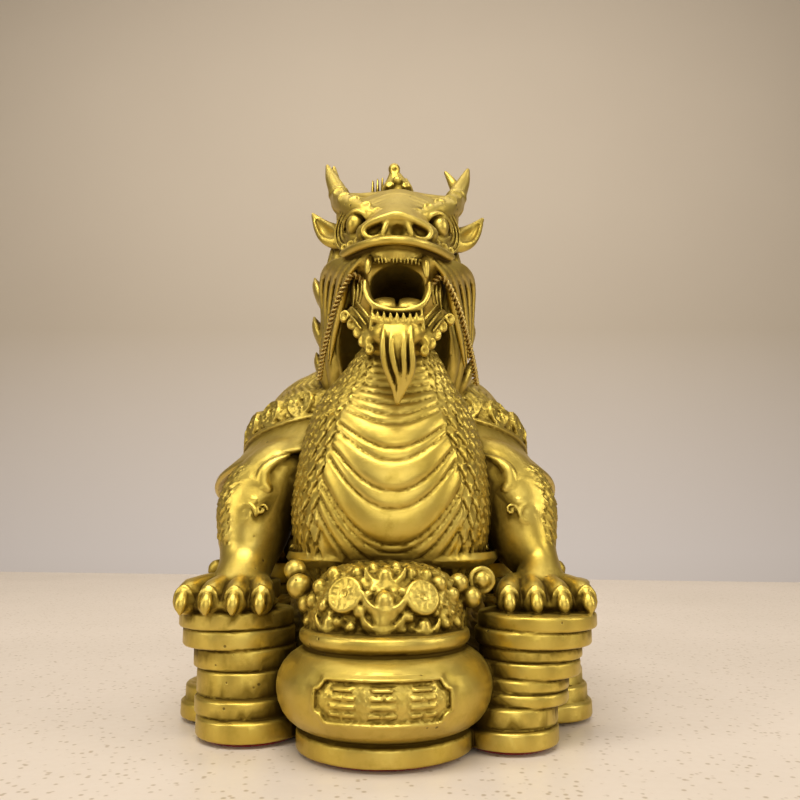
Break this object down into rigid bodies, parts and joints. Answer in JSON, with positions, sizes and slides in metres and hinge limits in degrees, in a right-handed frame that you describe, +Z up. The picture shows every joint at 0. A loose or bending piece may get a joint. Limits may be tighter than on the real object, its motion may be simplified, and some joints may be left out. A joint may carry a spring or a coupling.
{
  "type": "dragon turtle figure",
  "caption": "Brass dragon turtle with a raised dragon head and open mouth, its paws on stacks of coins, over a round bowl of coins, ingots and pearls.",
  "frame": {"origin": "under the middle of the figure's bounding box, on the surface that it stands on", "axes": "+Z up through the figure; the figure faces -Y; +X is to the right of someone who faces the figure's front"},
  "size_m": [0.1526, 0.1852, 0.2199],
  "materials": {
    "casting": "satin, brushed on the high parts and darkened in the recesses",
    "wire": "twisted wire, darkened",
    "felt": "thin felt"
  },
  "bodies": {
    "root": {"dragon_turtle": "casting", "whisker_left": "wire", "whisker_right": "wire", "felt_pad": "felt"}
  },
  "joints": []
}
